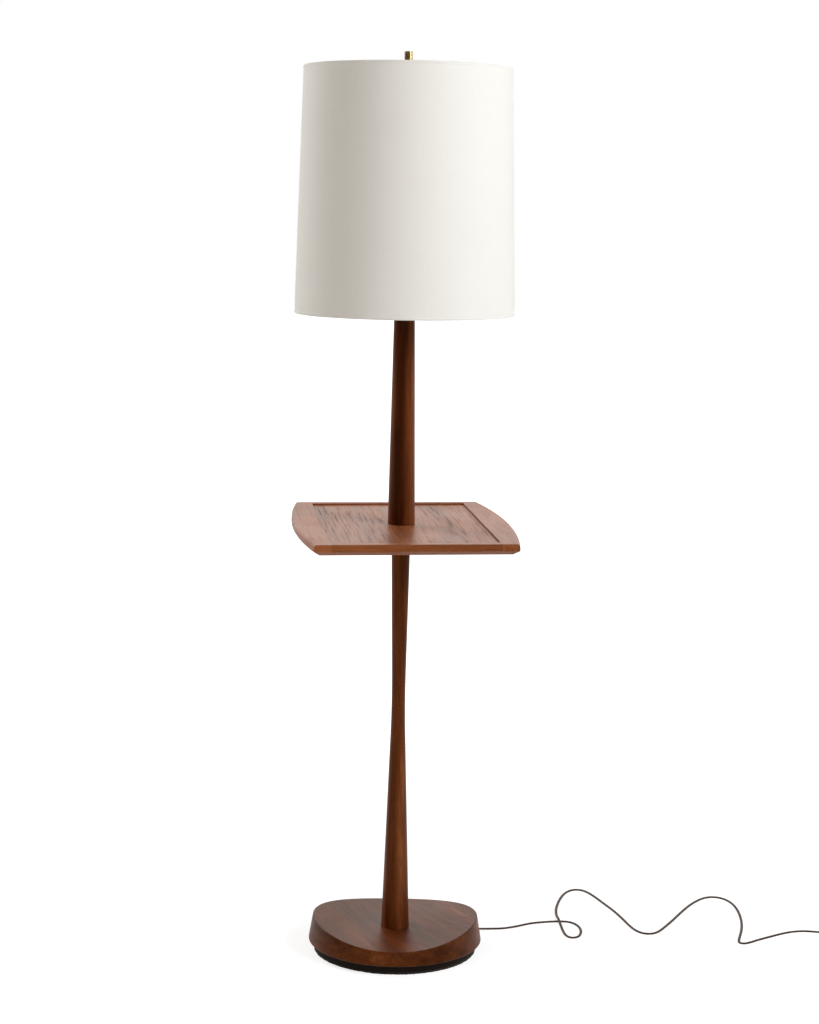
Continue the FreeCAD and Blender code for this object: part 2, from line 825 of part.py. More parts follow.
def plug_entry(coil_end):
    """Where the cord meets the plug's neck."""
    heading = 1 if len(coil_reach()) % 2 == 1 else -1
    return Vector(coil_end.x + heading * coil_lead_out, coil_end.y, plug_axis_level), heading


def cord_coil():
    edges, end = coil_path()
    entry, heading = plug_entry(end)
    third = Vector(heading * coil_lead_out / 3, 0, 0)
    lead_points = [end, end.add(third), entry.sub(third), entry]
    edges = edges + rounded_path(lead_points, cord_radii(lead_points))
    coil = swept_round(edges, cord_radius)
    print("coil: length %.0f, half turns %d" % (sum(edge.Length for edge in edges), len(coil_reach()) - 1))
    print("coil: least gap to itself %.2f" % least_gap(edges))
    return coil


def least_gap(edges):
    """Least distance between stretches of the coil that aren't neighbours, less the tube."""
    points = []
    for edge in edges:
        count = max(2, round(edge.Length / gap_step))
        points += edge.discretize(count)[:-1]
    least = 2 * coil_inner_radius
    window = round(2 * coil_inner_radius / gap_step)
    for number, first in enumerate(points):
        for second in points[number + window:]:
            least = min(least, first.distanceToPoint(second))
    return least - 2 * cord_radius


def along_plug(shape, entry, heading):
    """Place what was drawn along +X from the origin at the plug's entry."""
    placed = shape.copy()
    if heading < 0:
        placed = turn_about_z(placed, 180)
    placed.translate(entry)
    return placed


def plug_body():
    entry, heading = plug_entry(coil_path()[1])
    neck = Part.makeCone(plug_neck_tip_radius, plug_neck_radius, plug_neck_length,
                         Vector(0, 0, 0), Vector(1, 0, 0))
    half_width, half_thickness = plug_body_width / 2, plug_body_thickness / 2
    body = box_between((plug_neck_length, -half_width, -half_thickness),
                       (plug_neck_length + plug_body_length, half_width, half_thickness))
    long_edges = [edge for edge in body.Edges if edge.BoundBox.XLength > plug_body_length / 2]
    body = body.makeFillet(plug_body_round, long_edges)
    return along_plug(body.fuse(neck).removeSplitter(), entry, heading)


def plug_blade(side):
    entry, heading = plug_entry(coil_path()[1])
    start = plug_neck_length + plug_body_length
    centre = side * blade_spacing / 2
    blade = box_between((start, centre - blade_thickness / 2, -blade_width / 2),
                        (start + blade_length, centre + blade_thickness / 2, blade_width / 2))
    return along_plug(blade, entry, heading)


# ---------------------------------------------------------------- all the pieces

def pieces():
    board = tray_board()
    hub = spider_hub()
    top_ring = shade_ring(ring_level)
    named = {
        "base_felt": base_felt(),
        "base_weight": base_weight(),
        "base_wood": base_wood(),
        "base_nut": base_nut(),
        "base_washer": base_washer(),
        "cord_bushing": cord_bushing(),
        "stem_pipe": stem_pipe(),
        "inner_lead": inner_lead(),
        "lower_column": lower_column(),
        "upper_column": upper_column(),
        "tray_wing_left": tray_wing(board, -1),
        "tray_wing_right": tray_wing(board, 1),
        "tray_rail_front": tray_rail(board, -1),
        "tray_rail_back": tray_rail(board, 1),
        "tray_panel": tray_panel(),
        "neck_cap": neck_cap(),
        "harp_saddle": harp_saddle(),
        "harp_wire": harp_wire(),
        "harp_stud": harp_stud(),
        "harp_ferrule_left": harp_ferrule(-1),
        "harp_ferrule_right": harp_ferrule(1),
        "socket_cap": socket_cap(),
        "socket_shell": socket_shell(),
        "socket_sleeve": socket_sleeve(),
        "socket_core": socket_core(),
        "screw_shell": screw_shell(),
        "centre_contact": centre_contact(),
        "switch_shaft": switch_shaft(),
        "switch_knob": switch_knob(),
        "bulb_glass": bulb_glass(),
        "bulb_cap": bulb_cap(),
        "bulb_tip": bulb_tip(),
        "shade_drum": shade_drum(),
        "shade_trim_top": shade_trim(shade_top, -1),
        "shade_trim_bottom": shade_trim(shade_bottom, 1),
        "shade_ring_top": top_ring,
        "shade_ring_bottom": shade_ring(shade_bottom + shade_top - ring_level),
        "spider_hub": hub,
        "finial": finial(),
        "cord_run": cord_run(),
        "cord_coil": cord_coil(),
        "plug_body": plug_body(),
        "plug_blade_left": plug_blade(-1),
        "plug_blade_right": plug_blade(1),
    }
    for number, (x, y) in enumerate(weight_screw_spots(), start=1):
        named["weight_screw_%d" % number] = weight_screw(x, y)
    for number in range(arm_count):
        angle = arm_first_angle + number * 360 / arm_count
        named["spider_arm_%d" % (number + 1)] = spider_arm(angle, hub, top_ring)
    return named


def main():
    os.makedirs("parts", exist_ok=True)
    for name, shape in pieces().items():
        if not shape.isValid() or len(shape.Solids) != 1:
            print("check this piece:", name, shape.isValid(), len(shape.Solids))
        shape.exportStep("parts/%s.step" % name)


main()
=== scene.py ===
import math

import bpy
import bmesh
from bpy.props import FloatProperty, FloatVectorProperty, IntProperty, PointerProperty
from mathutils import Matrix, Vector


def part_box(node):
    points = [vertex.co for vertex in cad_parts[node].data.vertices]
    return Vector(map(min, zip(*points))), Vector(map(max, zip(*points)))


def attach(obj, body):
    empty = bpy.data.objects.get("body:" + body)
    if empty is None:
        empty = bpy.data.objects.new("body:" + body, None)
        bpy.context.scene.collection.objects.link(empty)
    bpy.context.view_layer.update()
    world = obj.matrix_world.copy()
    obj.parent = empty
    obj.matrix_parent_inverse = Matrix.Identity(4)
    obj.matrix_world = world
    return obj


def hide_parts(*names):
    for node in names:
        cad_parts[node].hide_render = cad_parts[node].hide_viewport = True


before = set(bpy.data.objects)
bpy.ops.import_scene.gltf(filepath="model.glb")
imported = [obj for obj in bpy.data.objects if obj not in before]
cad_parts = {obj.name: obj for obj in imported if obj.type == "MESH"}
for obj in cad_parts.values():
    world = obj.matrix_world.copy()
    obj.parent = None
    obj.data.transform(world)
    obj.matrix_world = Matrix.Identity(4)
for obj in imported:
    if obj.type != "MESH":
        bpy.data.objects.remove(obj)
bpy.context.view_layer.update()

bl_info = {
    "name": "Floor lamp with table",
    "version": (1, 0, 0),
    "blender": (4, 5, 0),
    "location": "View3D > Sidebar > Floor Lamp",
    "description": "Finishes, soft pieces and cord of a wooden floor lamp with a tray table",
    "category": "Object",
}

WHOLE_TURN = 2 * math.pi


# ---------------------------------------------------------------- sizes and colours

def length(name, description, default):
    return FloatProperty(name=name, description=description, default=default, min=0.0,
                         unit="LENGTH", subtype="DISTANCE", precision=5)


def colour(name, description, default):
    return FloatVectorProperty(name=name, description=description, default=default,
                               size=3, min=0.0, max=1.0, subtype="COLOR")


def share(name, description, default):
    return FloatProperty(name=name, description=description, default=default,
                         min=0.0, max=1.0, subtype="FACTOR")


class ShadeSizes(bpy.types.PropertyGroup):
    """Sizes of the fabric shade"""
    wall: length("Wall", "Thickness of the laminated cloth", 0.0012)
    seam_width: length("Seam width", "Width of the lapped seam at the back", 0.009)
    seam_height: length("Seam height", "How far the lap stands proud", 0.0005)
    hem_thickness: length("Hem thickness", "Thickness of the tape from outside to inside", 0.0020)
    sides: IntProperty(name="Sides", description="Facets round the drum", default=288, min=64)


class CordSizes(bpy.types.PropertyGroup):
    """Sizes of the flat twin cord and its plug"""
    width: length("Width", "Width of the flat cord", 0.0046)
    thickness: length("Thickness", "Thickness of the flat cord", 0.0027)
    pitch: length("Coil pitch", "Distance between neighbouring turns", 0.0052)
    inner_turn: length("Inner turn", "Radius of the coil's smallest turn", 0.017)
    lead_in: length("Lead-in", "Straight cord before the coil", 0.005)
    lead_out: length("Lead-out", "Cord between the coil and the plug", 0.024)
    plug_axis: length("Plug axis", "Height of the plug's axis over the floor", 0.0075)
    plug_neck: length("Plug neck", "Length of the plug's tapered neck", 0.014)
    neck_radius: length("Neck radius", "Radius of the neck where the cord enters", 0.0032)
    neck_growth: length("Neck growth", "How much wider the neck is at the plug", 0.0010)
    rib_pitch: length("Rib pitch", "Distance between the neck's ribs", 0.0024)
    rib_height: length("Rib height", "How far a rib stands proud", 0.0006)
    neck_ribs: IntProperty(name="Neck ribs", description="Ribs on the neck", default=5, min=1)
    plug_edge: length("Plug edge", "Rounding of the plug's edges", 0.0032)
    face_rim: length("Face rim", "Width of the rim round the blades", 0.0012)
    face_depth: length("Face depth", "How deep the face is let in", 0.0006)
    grip_rim: length("Grip rim", "Width of the rim round a thumb grip", 0.0028)
    grip_depth: length("Grip depth", "How deep a thumb grip is", 0.0010)


class MetalSizes(bpy.types.PropertyGroup):
    """Sizes of the turned metal pieces"""
    shell_wall: length("Shell wall", "Thickness of the socket shell", 0.0006)
    bead_width: length("Bead width", "Height of a rolled bead with its flanks", 0.0024)
    bead: length("Bead", "How far a rolled bead stands proud", 0.0006)
    thread_pitch: length("Thread pitch", "Distance between the bulb cap's threads", 0.0036)
    thread_depth: length("Thread depth", "Depth of the bulb cap's threads", 0.0008)
    sides: IntProperty(name="Sides", description="Facets round a turned piece", default=72, min=24)


class FeltSizes(bpy.types.PropertyGroup):
    """Sizes of the felt pad's ragged edge"""
    rounding: length("Rounding", "Width of the worn edge", 0.0008)
    fray: length("Fray", "How far the edge wanders in and out", 0.0024)
    fray_grain: length("Fray grain", "Size of the edge's tufts", 0.0035)
    fray_middle: share("Fray middle", "Share of the wandering that goes inward", 0.35)
    sides: IntProperty(name="Sides", description="Facets round the pad", default=320, min=64)


class WoodColours(bpy.types.PropertyGroup):
    """Colours of the wood"""
    dark: colour("Dark", "Late wood and pores", (0.036, 0.0070, 0.0016))
    middle: colour("Middle", "Body of the wood", (0.105, 0.0262, 0.0066))
    light: colour("Light", "Early wood", (0.280, 0.0900, 0.0330))
    sheen: colour("Sheen", "Tint of the wood's reflection seen straight on", (1.0, 0.55, 0.25))
    gloss: share("Gloss", "Strength of the wood's own reflection", 0.13)
    tray_gloss: share("Tray gloss", "Reflection of the tray's worn top", 0.20)


class ClothColours(bpy.types.PropertyGroup):
    """Colours of the cloth and felt"""
    cloth: colour("Cloth", "Off-white shade cloth", (0.85, 0.835, 0.79))
    lining: colour("Lining", "Inside of the shade", (0.84, 0.835, 0.82))
    felt: colour("Felt", "Felt under the base", (0.014, 0.009, 0.006))


class MetalColours(bpy.types.PropertyGroup):
    """Colours of the metal, cord and plastic pieces"""
    brass: colour("Brass", "Polished brass", (0.60, 0.44, 0.21))
    steel: colour("Steel", "Zinc plated steel", (0.55, 0.55, 0.54))
    iron: colour("Iron", "Black painted iron", (0.0075, 0.0040, 0.0018))
    cord: colour("Cord", "Brown cord", (0.046, 0.021, 0.009))
    black: colour("Black plastic", "Moulded switch and bushing", (0.010, 0.010, 0.010))


class StageSettings(bpy.types.PropertyGroup):
    """Camera, floor and lamps"""
    camera_place: FloatVectorProperty(name="Camera", description="Where the camera stands", size=3,
                                      default=(0.0, -3.1754, 1.2475), subtype="TRANSLATION")
    camera_pitch: FloatProperty(name="Pitch", description="How far the camera looks down",
                                default=0.1572, subtype="ANGLE")
    camera_roll: FloatProperty(name="Roll", description="How far the camera leans to its left",
                               default=0.0158, subtype="ANGLE")
    lens: FloatProperty(name="Lens", description="Focal length in millimetres", default=69.31)
    shift: FloatProperty(name="Shift", description="Sideways shift of the picture", default=0.00790)
    key_power: FloatProperty(name="Key", description="Power of the right-hand lamp",
                             default=89.0, unit="POWER")
    fill_power: FloatProperty(name="Fill", description="Power of the front lamp",
                              default=31.0, unit="POWER")
    rim_power: FloatProperty(name="Rim", description="Power of the left-hand lamp",
                             default=58.0, unit="POWER")
    back_power: FloatProperty(name="Back", description="Power of the broad lamp behind",
                              default=8.5, unit="POWER")
    sky: FloatProperty(name="Sky", description="Soft light from all round", default=0.20)
    floor_glow: share("Floor glow", "How much of the white near the lamp is the floor's own", 0.53)
    floor_white: FloatProperty(name="Floor white", description="Strength of the floor's own white",
                               default=1.40)


SETTINGS = {"lamp_shade": ShadeSizes, "lamp_cord": CordSizes, "lamp_metal": MetalSizes,
            "lamp_felt": FeltSizes, "lamp_wood_colours": WoodColours,
            "lamp_cloth_colours": ClothColours,
            "lamp_metal_colours": MetalColours, "lamp_stage": StageSettings}


# ---------------------------------------------------------------- shader maths

class Value:
    """A number that changes over a surface. Sums and products of it add Math nodes."""

    def __init__(self, finish, socket):
        self.finish = finish
        self.socket = socket

    def math(self, operation, *others):
        links = {0: self}
        links.update({place + 1: other for place, other in enumerate(others)})
        return self.finish.add("ShaderNodeMath", {"operation": operation}, links)

    def __add__(self, other):
        return self.math("ADD", other)

    def __sub__(self, other):
        return self.math("SUBTRACT", other)

    def __mul__(self, other):
        return self.math("MULTIPLY", other)

    def __truediv__(self, other):
        return self.math("DIVIDE", other)

    def __pow__(self, other):
        return self.math("POWER", other)

    def __rsub__(self, other):
        return (self * -1.0) + other

    __radd__ = __add__
    __rmul__ = __mul__

    def clamped(self):
        return self.math("MAXIMUM", 0.0).math("MINIMUM", 1.0)

    def sine(self):
        return self.math("SINE")


class Finish:
    """A material, or a world given as its holder, under construction."""

    def __init__(self, name, holder=None):
        self.material = holder or bpy.data.materials.new(name)
        self.material.use_nodes = True
        self.tree = self.material.node_tree
        self.tree.nodes.clear()

    def add(self, kind, settings=None, links=None, output=0):
        """A node of a kind, its settings made first, then the values or links of its sockets."""
        node = self.tree.nodes.new(kind)
        for setting, choice in (settings or {}).items():
            if setting == "stops":
                self.set_stops(node.color_ramp, choice)
            else:
                setattr(node, setting, choice)
        for place, given in (links or {}).items():
            socket = node.inputs[place]
            if isinstance(given, Value):
                self.tree.links.new(given.socket, socket)
            else:
                socket.default_value = given
        return Value(self, node.outputs[output])

    @staticmethod
    def set_stops(ramp, stops):
        while len(ramp.elements) < len(stops):
            ramp.elements.new(0.5)
        for element, (place, tone) in zip(ramp.elements, stops):
            element.position = place
            element.color = (*tone, 1.0)

    def place(self, stretch=(1.0, 1.0, 1.0), turn=0.0, source="Object"):
        """Coordinates on the piece, turned about Z and stretched."""
        where = self.add("ShaderNodeTexCoord", output=source)
        return self.add("ShaderNodeMapping", None,
                        {"Vector": where, "Rotation": (0.0, 0.0, turn), "Scale": stretch})

    def parts(self, vector):
        """The X, Y and Z of a vector."""
        return [self.add("ShaderNodeSeparateXYZ", None, {0: vector}, output=axis)
                for axis in range(3)]

    def moved(self, vector, offset):
        return self.add("ShaderNodeVectorMath", {"operation": "ADD"}, {0: vector, 1: offset})

    def drawn_out(self, vector, grain, along, across):
        """A vector scaled so that a pattern on it runs along one axis."""
        factors = tuple(along if axis == grain else across for axis in "XYZ")
        return self.add("ShaderNodeVectorMath", {"operation": "MULTIPLY"}, {0: vector, 1: factors})

    def noise(self, where, scale, detail=3.0, roughness=0.5, distortion=0.0):
        return self.add("ShaderNodeTexNoise", None,
                        {"Vector": where, "Scale": scale, "Detail": detail,
                         "Roughness": roughness, "Distortion": distortion}, output="Fac")

    def ramp(self, value, stops):
        return self.add("ShaderNodeValToRGB", {"stops": stops}, {"Fac": value})

    def blend(self, amount, first, second):
        """Two colours, mixed."""
        node = self.tree.nodes.new("ShaderNodeMix")
        node.data_type = "RGBA"
        wanted = {"Factor_Float": amount, "A_Color": first, "B_Color": second}
        for socket in node.inputs:
            given = wanted.get(socket.identifier)
            if given is None:
                continue
            if isinstance(given, Value):
                self.tree.links.new(given.socket, socket)
            else:
                socket.default_value = (*given, 1.0) if socket.type == "RGBA" else given
        result = next(socket for socket in node.outputs if socket.identifier == "Result_Color")
        return Value(self, result)

    def bump(self, height, strength, distance):
        links = {"Strength": strength, "Distance": distance, "Height": height}
        return self.add("ShaderNodeBump", None, links, output="Normal")

    def surface(self, tone, rough, **sockets):
        """The Principled surface: what changes over it is a Value, the rest are numbers."""
        links = {"Base Color": tone, "Roughness": rough}
        links.update({name.replace("_", " "): given for name, given in sockets.items()})
        shader = self.add("ShaderNodeBsdfPrincipled", None, links)
        self.add_output(shader)
        return self.material

    def add_output(self, shader, kind="ShaderNodeOutputMaterial"):
        out = self.tree.nodes.new(kind)
        self.tree.links.new(shader.socket, out.inputs["Surface"])


# ---------------------------------------------------------------- finishes

# the tray stands turned on its column, and the base's grain runs aslant
TRAY_GRAIN = -math.radians(6.8)
BASE_GRAIN = -math.radians(28.0)
# centre and half width, along X, of the painted shade band down a column's middle
PAINTED_SHADE_CENTRE = -0.003
PAINTED_SHADE_HALF_WIDTH = 0.012


def shaded(tone, factor):
    """A colour, darker or lighter by a factor."""
    return tuple(part * factor for part in tone)


def wood(name, grain, turn=0.0, offset=(0.0, 0.0, 0.0), paler=0.0, figure=1.0, gloss=None,
         painted_shade_depth=0.0):
    """Satin dark wood, its grain along one axis.

    figure strengthens the flecks, and painted_shade_depth is the depth of a painted shade band down
    the middle, where the light falls least.
    """
    colours = bpy.context.scene.lamp_wood_colours
    dark = tuple(colours.dark)
    finish = Finish(name)
    where = finish.place(turn=turn)
    sideways, _, _ = finish.parts(where)
    # painted shade: darker in a band near the middle of X, down a column's front and back, where the
    # light from the sides falls least
    painted_shade_band = (1.0 - ((sideways - PAINTED_SHADE_CENTRE) / PAINTED_SHADE_HALF_WIDTH) ** 2.0).clamped() * painted_shade_depth
    where = finish.moved(where, offset)

    # growth rings, from broad to fine
    stretched = finish.drawn_out(where, grain, 1.0, 14.0)
    drift = finish.noise(stretched, 0.55, detail=2.0, roughness=0.45)
    rings = finish.noise(stretched, 2.3, detail=5.0, roughness=0.62, distortion=0.35 * figure)
    streaks = finish.noise(stretched, 9.0, detail=4.0, roughness=0.7)
    tone = (drift * 0.5 + rings * 0.95 + streaks * 0.5 - 0.475 + paler - painted_shade_band).clamped()
    body = finish.ramp(tone, [(0.18, dark), (0.50, tuple(colours.middle)),
                              (0.88, tuple(colours.light))])

    # open pores
    pored = finish.drawn_out(where, grain, 14.0, 260.0)
    pores = finish.noise(pored, 3.0, detail=2.0, roughness=0.6)
    pits = ((pores - 0.60) * 7.0).clamped()
    body = finish.blend(pits * 0.55, body, shaded(dark, 0.5))

    # long dark flecks
    flecks = finish.noise(finish.drawn_out(where, grain, 7.0, 230.0), 1.3, detail=4.0,
                          roughness=0.6, distortion=0.12 * figure)
    flecks = ((flecks - 0.52) * 6.0).clamped() * (0.20 * figure)
    body = finish.blend(flecks, body, shaded(dark, 0.6))

    worn = finish.noise(where, 9.0, detail=3.0)
    rough = (worn * 0.16 + streaks * 0.06 + flecks * 0.30 + 0.27).clamped()
    relief = pits * -1.0 + streaks * 0.25 - flecks * 0.8
    return finish.surface(body, rough, Specular_Tint=(*colours.sheen, 1.0),
                          Specular_IOR_Level=colours.gloss if gloss is None else gloss,
                          Normal=finish.bump(relief, 0.25, 0.0004))


def cloth():
    """Shade cloth: fine warp and weft with a few thicker threads, on the drum's own UV map."""
    tone = bpy.context.scene.lamp_cloth_colours.cloth
    finish = Finish("Shade cloth")
    where = finish.place(source="UV")
    round_the_drum, up, _ = finish.parts(where)
    warp = (round_the_drum * (WHOLE_TURN * 1500.0)).sine()
    weft = (up * (WHOLE_TURN * 520.0)).sine()
    stretched = finish.place(stretch=(900.0, 7.0, 1.0), source="UV")
    slubs = finish.noise(stretched, 1.0, detail=2.0, roughness=0.6)
    laid = finish.place(stretch=(14.0, 420.0, 1.0), source="UV")
    cross = finish.noise(laid, 1.0, detail=2.0, roughness=0.6)
    cloudy = finish.noise(where, 9.0, detail=2.0)
    mottle = (slubs * 0.5 + cross * 0.35 + cloudy * 0.15 - 0.5) * 0.9
    weave = warp * 0.5 + weft * 0.5
    level = (mottle + weave * 0.05 + 0.55).clamped()
    body = finish.ramp(level, [(0.0, shaded(tone, 0.86)), (1.0, tuple(tone))])
    relief = weave + slubs * 1.6 + cross
    normal = finish.bump(relief, 0.25, 0.00025)
    return finish.surface(body, 0.85, Sheen_Weight=0.15, Sheen_Roughness=0.5, Normal=normal)


def tape():
    """The hem tape, cut from the same cloth."""
    tone = bpy.context.scene.lamp_cloth_colours.cloth
    finish = Finish("Hem tape")
    where = finish.place()
    fine = finish.noise(where, 1400.0, detail=2.0)
    broad = finish.noise(where, 40.0, detail=2.0)
    level = (fine * 0.6 + broad * 0.4).clamped()
    body = finish.ramp(level, [(0.2, shaded(tone, 0.84)), (0.8, tuple(tone))])
    return finish.surface(body, 0.85, Normal=finish.bump(fine, 0.3, 0.0003))


def lining():
    """Smooth white backing on the inside of the cloth."""
    tone = bpy.context.scene.lamp_cloth_colours.lining
    finish = Finish("Shade lining")
    where = finish.place()
    grain = finish.noise(where, 260.0, detail=3.0)
    body = finish.ramp(grain, [(0.2, shaded(tone, 0.95)), (0.8, tuple(tone))])
    rough = (grain * 0.15 + 0.45).clamped()
    return finish.surface(body, rough, Normal=finish.bump(grain, 0.1, 0.0002))


def felt():
    """Dark felt with fuzz and lumps."""
    tone = bpy.context.scene.lamp_cloth_colours.felt
    finish = Finish("Felt")
    where = finish.place()
    fuzz = finish.noise(where, 900.0, detail=4.0, roughness=0.75)
    lumps = finish.noise(where, 70.0, detail=3.0)
    level = (fuzz * 0.7 + lumps * 0.3).clamped()
    body = finish.ramp(level, [(0.25, shaded(tone, 0.4)), (0.75, shaded(tone, 2.2))])
    normal = finish.bump(fuzz + lumps, 0.7, 0.0006)
    return finish.surface(body, 0.95, Sheen_Weight=0.12, Normal=normal)


def metal(name, tone, rough, brushed=(1.0, 1.0, 1.0), marks=0.12):
    """Polished or plated metal with faint turning marks and dull patches."""
    finish = Finish(name)
    where = finish.place()
    lines = finish.noise(finish.place(stretch=brushed), 700.0, detail=2.0, roughness=0.6)
    dull = finish.noise(where, 60.0, detail=3.0)
    level = (dull * 0.8 + lines * 0.2).clamped()
    body = finish.ramp(level, [(0.25, shaded(tone, 0.80)), (0.7, tuple(tone))])
    roughness = (lines * marks + dull * marks + rough - marks * 0.6).clamped()
    normal = finish.bump(lines, 0.02, 0.0001)
    return finish.surface(body, roughness, Metallic=1.0, Normal=normal)


def moulded(name, tone, rough, grain=500.0, coat=0.0, gloss=0.5):
    """Moulded plastic, rubber or paint with a fine skin."""
    finish = Finish(name)
    where = finish.place()
    skin = finish.noise(where, grain, detail=3.0, roughness=0.6)
    patches = finish.noise(where, 35.0, detail=2.0)
    level = (skin * 0.4 + patches * 0.6).clamped()
    body = finish.ramp(level, [(0.25, shaded(tone, 0.75)), (0.75, shaded(tone, 1.25))])
    roughness = (patches * 0.14 + skin * 0.08 + rough - 0.1).clamped()
    return finish.surface(body, roughness, Coat_Weight=coat, Specular_IOR_Level=gloss,
                          Normal=finish.bump(skin, 0.18, 0.0002))


def bulb_white():
    """Soft white bulb glass: a bright milky body under a clear skin."""
    finish = Finish("Soft white glass")
    where = finish.place()
    powder = finish.noise(where, 420.0, detail=3.0)
    body = finish.ramp(powder, [(0.2, (0.80, 0.80, 0.78)), (0.8, (0.90, 0.90, 0.88))])
    return finish.surface(body, (powder * 0.08 + 0.16).clamped(), Coat_Weight=0.6,
                          Coat_Roughness=0.04, Subsurface_Weight=0.2)


# ---------------------------------------------------------------- shaping helpers

def deselect():
    if bpy.context.object and bpy.context.object.mode != "OBJECT":
        bpy.ops.object.mode_set(mode="OBJECT")
    bpy.ops.object.select_all(action="DESELECT")


def begin_edit():
    bpy.ops.object.mode_set(mode="EDIT")
    return bmesh.from_edit_mesh(bpy.context.object.data)


def choose(kind, test):
    """In edit mode, select the vertices or faces that pass a test on their place and normal."""
    mesh = bpy.context.object.data
    shape = bmesh.from_edit_mesh(mesh)
    for vertex in shape.verts:
        vertex.select_set(False)
    shape.select_flush(False)
    if kind == "VERT":
        for vertex in shape.verts:
            if test(vertex.co, vertex.normal):
                vertex.select_set(True)
        shape.select_flush(True)
    else:
        for face in shape.faces:
            if test(face.calc_center_median(), face.normal):
                face.select_set(True)
    bmesh.update_edit_mesh(mesh)


def settle(name, finish, body, *nodes, slot=None, smooth=30.0):
    """End a piece: its place goes into its mesh, it gets its finish, and it rides on a body."""
    piece = bpy.context.object
    if piece.mode != "OBJECT":
        bpy.ops.object.mode_set(mode="OBJECT")
    bpy.ops.object.transform_apply(location=True, rotation=True, scale=True)
    piece.name = name
    piece.data.name = name
    if finish is not None:
        piece.data.materials.clear()
        piece.data.materials.append(finish)
    if smooth:
        bpy.ops.object.shade_smooth_by_angle(angle=math.radians(smooth))
    if nodes:
        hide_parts(*nodes)
    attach(piece, body)
    return piece


def apply_modifier(kind, **settings):
    piece = bpy.context.object
    bpy.ops.object.modifier_add(type=kind)
    modifier = piece.modifiers[-1]
    for setting, choice in settings.items():
        setattr(modifier, setting, choice)
    bpy.ops.object.modifier_apply(modifier=modifier.name)


def turn_up(profile, sides, bottom=True, top=True):
    """A turned piece: a circle pulled up through (radius, height) steps, as on a lathe."""
    deselect()
    radius, height = profile[0]
    bpy.ops.mesh.primitive_circle_add(vertices=sides, radius=radius, location=(0, 0, height),
                                      fill_type="NGON" if bottom else "NOTHING")
    bpy.ops.object.transform_apply(location=True, rotation=True, scale=True)
    bpy.ops.object.mode_set(mode="EDIT")
    bpy.ops.mesh.select_all(action="SELECT")
    for (was_radius, was_height), (radius, height) in zip(profile, profile[1:]):
        rise = {"value": (0, 0, height - was_height)}
        bpy.ops.mesh.extrude_edges_move(TRANSFORM_OT_translate=rise)
        ratio = radius / was_radius
        if abs(ratio - 1) > 1e-6:
            bpy.ops.transform.resize(value=(ratio, ratio, 1), center_override=(0, 0, height))
    if top:
        bpy.ops.mesh.edge_face_add()
    bpy.ops.mesh.select_all(action="SELECT")
    bpy.ops.mesh.normals_make_consistent(inside=False)
    bpy.ops.object.mode_set(mode="OBJECT")
    return bpy.context.object


def node_levels(node):
    low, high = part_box(node)
    return low[2], high[2]


def node_radius(node):
    low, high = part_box(node)
    return (high[0] - low[0]) / 2


# ---------------------------------------------------------------- the route of the cord

ROUTE = [
    (0.1150, 0.0664, 0.0097), (0.131, 0.0755, 0.0064), (0.146, 0.083, 0.0028), (0.165, 0.088, 0.0023),
    (0.188, 0.090, 0.0023), (0.212, 0.101, 0.0023), (0.236, 0.117, 0.0023), (0.262, 0.1245, 0.0023),
    (0.287, 0.129, 0.0023), (0.307, 0.127, 0.0023), (0.319, 0.111, 0.0023), (0.323, 0.090, 0.0023),
    (0.321, 0.071, 0.0023), (0.316, 0.057, 0.0023), (0.306, 0.0505, 0.0023), (0.297, 0.0555, 0.0023),
    (0.293, 0.068, 0.0023), (0.291, 0.084, 0.0023), (0.2895, 0.106, 0.0023), (0.287, 0.129, 0.0092),
    (0.285, 0.158, 0.0023), (0.287, 0.192, 0.0023), (0.295, 0.230, 0.0023), (0.304, 0.260, 0.0023),
    (0.314, 0.280, 0.0023), (0.326, 0.291, 0.0023), (0.340, 0.2905, 0.0023), (0.351, 0.279, 0.0023),
    (0.362, 0.256, 0.0023), (0.375, 0.222, 0.0023), (0.390, 0.184, 0.0023), (0.401, 0.146, 0.0023),
    (0.410, 0.111, 0.0023), (0.418, 0.089, 0.0023), (0.430, 0.076, 0.0023), (0.445, 0.0755, 0.0023),
    (0.457, 0.086, 0.0023), (0.471, 0.109, 0.0023), (0.490, 0.144, 0.0023), (0.510, 0.184, 0.0023),
    (0.531, 0.222, 0.0023), (0.551, 0.249, 0.0023), (0.568, 0.263, 0.0023), (0.587, 0.2635, 0.0023),
    (0.601, 0.250, 0.0023), (0.610, 0.226, 0.0023), (0.613, 0.190, 0.0023), (0.611, 0.146, 0.0023),
    (0.604, 0.102, 0.0023), (0.595, 0.069, 0.0023), (0.590, 0.050, 0.0023), (0.5895, 0.0395, 0.0023),
    (0.5975, 0.0365, 0.0023), (0.609, 0.043, 0.0023), (0.625, 0.056, 0.0023), (0.645, 0.069, 0.0023),
    (0.667, 0.084, 0.0023), (0.689, 0.096, 0.0023), (0.713, 0.101, 0.0023), (0.738, 0.096, 0.0023),
    (0.764, 0.092, 0.0023), (0.785, 0.092, 0.0023),
]
POINTS_AT_EXIT = 3
POINTS_AT_PLUG = 2
HALF_TURNS_IN = 6
POINTS_PER_HALF_TURN = 8
CORE_STEPS = 8
CORE_ARC = math.radians(252)


